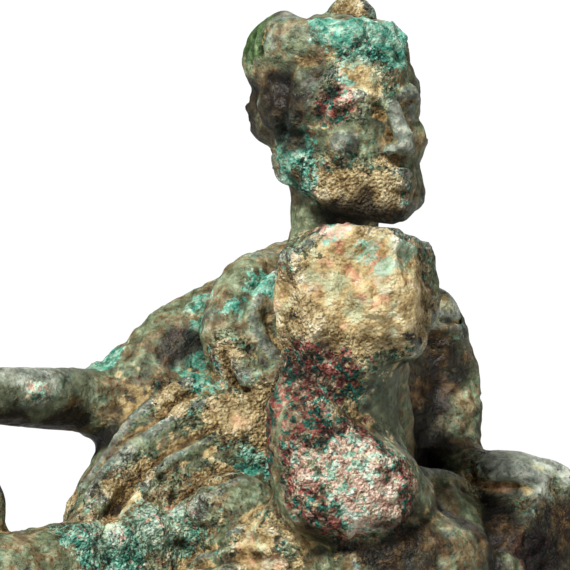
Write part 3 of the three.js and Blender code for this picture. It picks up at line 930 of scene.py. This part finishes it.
# the black end of the dark dirt and painted shade
SOOT_AND_SHADE = shades((4, 2, 0), (22, 14, 6), (48, 38, 22), (80, 68, 44), (126, 112, 82))

# the sizes of what the crusts are built from
FLAKE, GRAIN, SPECK, GRIT = 0.3, 0.32, 0.17, 0.24


def blank_material(name):
    made = bpy.data.materials.new(name)
    made.use_nodes = True
    made.node_tree.nodes.clear()
    return made, Wire(made.node_tree)


def patina(name):
    """Bronze that has lain in the ground: smooth skin, with crusts built from grains of many colours."""
    made, tree = blank_material(name)
    place = tree.node("ShaderNodeTexCoord", {}, {}, "Object")
    place = tree.node("ShaderNodeVectorMath", {"operation": "SCALE"}, {0: place, "Scale": 1 / MM})

    def cloud(size, detail=3.0, rough=0.6, output="Fac"):
        sockets = {"Vector": place, "Scale": 1 / size, "Detail": detail, "Roughness": rough}
        return tree.node("ShaderNodeTexNoise", {}, sockets, output)

    def cells(size, output):
        return tree.node("ShaderNodeTexVoronoi", {}, {"Vector": crooked, "Scale": 1 / size}, output)

    def parts(colour, count):
        return [tree.node("ShaderNodeSeparateColor", {}, {"Color": colour}, i) for i in range(count)]

    def held(kind):
        return tree.node("ShaderNodeAttribute", {"attribute_name": kind}, {}, "Fac")

    # flakes with crooked edges, and three random numbers that belong to each flake
    wander = cloud(0.4, output="Color")
    wander = tree.node("ShaderNodeVectorMath", {"operation": "SCALE"}, {0: wander, "Scale": 0.3})
    crooked = tree.node("ShaderNodeVectorMath", {"operation": "ADD"}, {0: place, 1: wander})
    red, green, blue = parts(cells(FLAKE, "Color"), 3)
    grain = cells(GRAIN, "Distance")
    (speck,) = parts(cells(SPECK, "Color"), 1)

    # how light the skin and each crust is, from its pits at 0 to its brightest grains at 1
    grit, patchy, broad = cloud(GRIT, 2.0), cloud(1.0, 3.0, 0.5), cloud(4.5)
    ragged = (patchy - 0.5) * 1.6 + (grit - 0.5) * 0.6 + (red - 0.5) * 0.5
    hollow, deep = held("hollow"), held("deep")
    bare = (held("bare") + (patchy - 0.5)).step(0.4, 0.8)
    # pale: bleached crust and skin, and painted highlight on the tops of the forearm, the left hand and the
    # knob of the left arm
    chalk = (held("chalk") + (patchy - 0.5)).step(0.2, 1.1)
    powder = (held("chalk") * held("earth")).step(0.0, 1.0)
    calm = 1 - bare * 0.7 - powder * 0.65
    sparkle = (grit - 0.5) * 0.7 + (speck - 0.5) * 0.26 + (red - 0.5) * 0.16
    # painted shade in hollows and painted highlight on ridges: lighter where the skin bulges, darker where it
    # dips
    light = 0.5 + sparkle * calm + (patchy - 0.5) * 1.1 + (0.5 - hollow) * 0.6
    light = light + chalk * (0.08 - powder * 0.12)

    def patch(kind):
        return (held(kind) + ragged).step(0.42, 0.58)

    def mixed(share, first, second):
        return share.between(light.ramp(*first), light.ramp(*second))

    def strewn(number, share):
        """Flakes picked by one of their random numbers, so that they make up this share."""
        return (share - number + (broad - 0.5) * 0.3).step(0.0, 0.02) * calm

    # the skin: olive and brown, plum on its ridges, and worn where the metal is bare; where the bare metal is
    # pale it is polished, with painted highlight
    tint = (cloud(0.8, 3.0) + (red - 0.5) * 0.08).step(0.44, 0.6)
    stain = (cloud(2.6, 4.0) + (tint - 0.5) * 0.08).step(0.46, 0.56)
    colour = mixed(stain, OLIVE_SKIN, BROWN_SKIN)
    colour = bare.between(colour, mixed(chalk, WORN, POLISHED_AND_HIGHLIT))
    ridge = (0.5 - hollow + (broad - 0.5) * 0.8 + (grit - 0.5) * 0.3).step(0.18, 0.3)
    colour = (ridge * 0.8).between(colour, light.ramp(*PLUM))

    # the earth, also in the hollows that the dark dirt and painted shade leave, with a blush and a green
    # tinge where it is pale
    in_hollow = (hollow + (patchy - 0.5) * 0.9 + (broad - 0.5) * 0.6).step(0.64, 0.74)
    earth = patch("earth").most(in_hollow * (1 - held("soil").step(0.0, 0.5)))
    browner = (0.45 + stain * 0.45) * (1 - chalk) + stain * chalk * 0.4
    colour = earth.between(colour, mixed(browner, SAND, OCHRE))
    blush = cloud(1.5, 3.0).step(0.46, 0.58) * chalk * earth * 0.6
    colour = blush.between(colour, mixed(cloud(3.1).step(0.48, 0.54), BLUSH, OCHRE))
    tinge = cloud(2.0, 3.0).step(0.5, 0.6) * chalk * earth * 0.4
    colour = tinge.between(colour, light.ramp(*MINT))

    # the crusts: green, blue-green and red, with flakes of each other's colours strewn over them
    colour = patch("malachite").between(colour, light.ramp(*GREEN))
    turquoise = patch("turquoise").most(strewn(green, 0.12) * (0.8 - earth * 0.7))
    colour = (turquoise * (1 - chalk * 0.25)).between(colour, mixed(tint.most(chalk), TEAL, MINT))
    cuprite = patch("cuprite")
    light = light - cuprite * (0.28 - chalk * 0.34)
    colour = cuprite.between(colour, mixed(tint.most(chalk * 0.45), RED, CREAM))
    crust = turquoise.most(cuprite)
    colour = (strewn(blue, 0.06) * (0.35 + crust * 0.5)).between(colour, mixed(tint, CREAM, SAND))
    colour = (strewn(1 - blue, 0.04) * (0.3 + crust * 0.6)).between(colour, light.ramp(*RED))
    bloom = (cloud(0.7, 3.0) + (broad - 0.5) * 0.3).step(0.52, 0.58) * cuprite
    colour = bloom.between(colour, mixed(chalk, TEAL, MINT))

    # the dark dirt and painted shade over all of it, brown or black, the dark of pits, and painted shade in
    # deep hollows
    # dark dirt, and painted shade where shade falls, in brown or black
    dark = (held("soil") + ragged * 0.6).step(0.0, 0.8) * 0.94
    # blacker painted shade under the brim, the chin and the right forearm
    soot = held("soot").step(0.2, 0.8)
    light = light - 0.24 - soot * 0.08
    browner = (stain * 0.7).most(strewn(red, 0.1)) * (1 - soot * 0.8)
    colour = dark.between(colour, mixed(browner, SOOT_AND_SHADE, UMBER))
    pits = (0.42 + turquoise * 0.04 - cloud(0.55, 2.0)).step(0.0, 0.06) * calm * (1 - earth * 0.7)
    colour = (pits * (0.8 - chalk * 0.3)).between(colour, paint(14, 10, 4))
    # painted shade: deep broad hollows darkened to a dark brown
    colour = (deep.step(0.6, 0.95) * (0.65 - earth * 0.6)).between(colour, paint(20, 14, 6))

    # crusts are matt and grainy, and bare metal is smooth
    crust = crust.most(earth)
    rough = 0.52 + crust * 0.28 + (grit - 0.5) * 0.3
    grains = (0.5 - grain) * (0.14 + crust * 0.3) + speck * 0.05
    height = (grit * 0.25 + cloud(0.5, 2.0) * 0.3 + grains) * calm + cloud(1.3, 1.0) * 0.5 - pits * 0.2
    bump = tree.node("ShaderNodeBump", {}, {"Height": height, "Distance": MM, "Strength": 1.0})
    sockets = {"Base Color": colour, "Roughness": rough, "Metallic": bare * 0.1, "Normal": bump}
    sockets["Specular IOR Level"] = 0.32
    tree.output(tree.node("ShaderNodeBsdfPrincipled", {}, sockets))
    return made


figure_mesh.materials.clear()
figure_mesh.materials.append(patina("excavated bronze"))
figure_mesh.shade_smooth()
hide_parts("mercury_figure")
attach(figure, "root")

# The plinth is a separate casting in the same bronze: a foot, a hollow, a fillet and a rounded top,
# run round a rectangle with soft corners. The figure is soldered down on it.
PLINTH_CORNER = 5.0
SHARPEST_CORNER = 0.6
CORNER_STEPS = 12
SIDE_STEPS = 24
PLINTH_GROOVES = [{"height": 3.0, "width": 0.8}, {"height": 4.9, "width": 0.3}]
plinth_low, plinth_high = (np.array(corner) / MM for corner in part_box("low_plinth"))


def plinth_profile():
    """The moulding from the underside to the top: how far in from the foot's edge, and how high."""
    height = plinth_high[2]
    profile = [(0.5, 0.0)]
    # the rounded foot, a fillet, the hollow, a fillet and the rounded top
    profile += [(1.2 - 1.2 * math.cos(a), 1.2 + 1.2 * math.sin(a)) for a in np.linspace(-0.9, 1.4, 9)]
    profile += [(1.3, 2.5), (1.35, 2.75)]
    profile += [(1.0 + 1.1 * math.sin(a), 3.55 - 0.8 * math.cos(a)) for a in np.linspace(0.4, 2.6, 8)]
    profile += [(1.2, 4.45), (0.9, 4.6)]
    profile += [(1.4 - 0.7 * math.cos(a), 5.3 + 0.68 * math.sin(a)) for a in np.linspace(-0.6, 1.45, 7)]
    # steps over the flat top, which keep its faces small
    profile += [(inset, height) for inset in (2.0, 4.0, 8.0, 14.0, 20.0)]
    return profile


def rounded_outline(inset):
    """Points round the rectangle, set in from its edge."""
    half = (plinth_high - plinth_low)[:2] / 2 - inset
    radius = max(PLINTH_CORNER - inset, SHARPEST_CORNER)
    corners = []
    for quarter in range(4):
        angles = quarter * math.pi / 2 + np.linspace(0, math.pi / 2, CORNER_STEPS)
        side = np.array((1 if quarter in (0, 3) else -1, 1 if quarter < 2 else -1))
        centre = side * (half - radius)
        corners += [centre + radius * np.array((math.cos(a), math.sin(a))) for a in angles]
    outline = []
    for a, b in zip(corners, corners[1:] + corners[:1]):
        steps = SIDE_STEPS if np.linalg.norm(b - a) > PLINTH_CORNER else 1
        outline += [a + (b - a) * i / steps for i in range(steps)]
    return np.array(outline)


rings = []
for inset, height in plinth_profile():
    outline = rounded_outline(inset)
    rings.append(np.hstack([outline, np.full((len(outline), 1), height)]))
around = len(rings[0])
plinth_points = np.vstack([*rings, [(0, 0, rings[0][0, 2])], [(0, 0, rings[-1][0, 2])]])
underside_middle, top_middle = len(plinth_points) - 2, len(plinth_points) - 1
top_ring = (len(rings) - 1) * around
plinth_faces = []
for ring in range(len(rings) - 1):
    lower, upper = ring * around, (ring + 1) * around
    for i in range(around):
        j = (i + 1) % around
        plinth_faces.append((lower + i, lower + j, upper + j, upper + i))
for i in range(around):
    j = (i + 1) % around
    plinth_faces.append((j, i, underside_middle))
    plinth_faces.append((top_ring + i, top_ring + j, top_middle))
plinth = mesh_object("moulded_plinth", plinth_points, plinth_faces)

# its corrosion lies along the edges, with bare metal wherever there is none
PLINTH_SPOTS = {
    "turquoise": [
        (-20, -26, 3.4, 3), (26, -26, 2, 3), (33, 8, 4, 3.6), (-33, 14, 3, 3), (6, 26, 3.6, 4),
    ],
    "malachite": [(9, -26, 5, 2.4), (-33, -10, 2, 3), (30, 24, 4, 3)],
    "earth": [
        (-6, -24.6, 3, 2.6), (18, -24.8, 3, 2.6), (32, -16, 3, 3), (-18, 25, 3, 3.4), (-24, -20, 6.3, 4),
    ],
}
plinth_maps = {kind: spotted(plinth_points, PLINTH_SPOTS.get(kind, [])) for kind in KINDS}
plinth_maps["bare"] = 1.2 - np.clip(plinth_maps["turquoise"] + plinth_maps["earth"] + 2, 0, 1.2)
level = plinth_points[:, 2]
grooves = sum(np.exp(-(((level - groove["height"]) / groove["width"]) ** 2)) for groove in PLINTH_GROOVES)
# the grooves count as hollows, which gives them a little painted shade and earth
plinth_maps["hollow"] = 0.5 + 0.1 * grooves
plinth_maps["deep"] = np.zeros(len(plinth_points))
keep_maps(plinth.data, plinth_maps)
plinth.data.materials.append(patina("plinth bronze"))
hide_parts("low_plinth")
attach(plinth, "root")

# The studio: a pale floor, a white surround that only the camera sees, soft lights, and the camera low in
# front, looking slightly up at the chest.
FLOOR_SIZE = 3.0
FLOOR_GREY = (0.5, 0.5, 0.49, 1)
FLOOR_FADE = (0.25, 1.1)
SURROUND_FADE = (0.1, 0.2)
WHITE, BLACK = (1, 1, 1, 1), (0, 0, 0, 1)


def stage_material(name, colour, fade):
    """A matt colour that turns into plain white between these two distances from the middle."""
    made, tree = blank_material(name)
    away = tree.node("ShaderNodeTexCoord", {}, {}, "Object")
    away = tree.node("ShaderNodeVectorMath", {"operation": "LENGTH"}, {0: away}, "Value")
    share = away.step(*fade)
    sockets = {"Base Color": share.between(colour, BLACK), "Emission Color": share.between(BLACK, WHITE)}
    sockets |= {"Roughness": 0.9, "Emission Strength": 1.0}
    tree.output(tree.node("ShaderNodeBsdfPrincipled", {}, sockets))
    return made


bpy.ops.mesh.primitive_circle_add(vertices=96, radius=FLOOR_SIZE, fill_type="NGON", location=(0, 0, 0))
floor = bpy.context.object
floor.name = "floor"
floor.data.materials.append(stage_material("pale floor", FLOOR_GREY, FLOOR_FADE))
bpy.ops.mesh.primitive_uv_sphere_add(segments=48, ring_count=24, radius=FLOOR_SIZE)
surround = bpy.context.object
surround.name = "surround"
surround.data.materials.append(stage_material("white surround", BLACK, SURROUND_FADE))
for unseen_by in ("visible_diffuse", "visible_glossy", "visible_transmission", "visible_shadow"):
    setattr(surround, unseen_by, False)

GLOW_ALL_ROUND = 0.06
LIGHTS = [
    {"name": "key", "from": (-170, -300, 300), "strength": 5.1, "spread": 14},
    {"name": "fill", "from": (330, -280, 150), "strength": 0.42, "spread": 40},
    {"name": "rear", "from": (120, 380, 300), "strength": 0.5, "spread": 40},
]
world = bpy.data.worlds.new("studio")
bpy.context.scene.world = world
world.use_nodes = True
world.node_tree.nodes["Background"].inputs["Color"].default_value = WHITE
world.node_tree.nodes["Background"].inputs["Strength"].default_value = GLOW_ALL_ROUND
bpy.context.scene.view_settings.view_transform = "Standard"
for light in LIGHTS:
    lamp = bpy.data.lights.new(light["name"], "SUN")
    lamp.energy = light["strength"]
    lamp.angle = math.radians(light["spread"])
    holder = bpy.data.objects.new(light["name"], lamp)
    holder.rotation_euler = (-Vector(light["from"])).to_track_quat("-Z", "Y").to_euler()
    bpy.context.scene.collection.objects.link(holder)

LOOK_AT = Vector((2.7, 4.0, 54.0))
CAMERA_AWAY = 280
LOOKS_UP = math.radians(6)
SEEN_WIDTH = 51.3
camera = bpy.data.cameras.new("camera")
camera.sensor_width = 36
camera.lens = camera.sensor_width * CAMERA_AWAY / SEEN_WIDTH
camera.clip_start, camera.clip_end = 0.01, 10
camera_holder = bpy.data.objects.new("camera", camera)
camera_holder.location = MM * (LOOK_AT - CAMERA_AWAY * Vector((0, math.cos(LOOKS_UP), math.sin(LOOKS_UP))))
camera_holder.rotation_euler = (math.pi / 2 + LOOKS_UP, 0, 0)
bpy.context.scene.collection.objects.link(camera_holder)
bpy.context.scene.camera = camera_holder
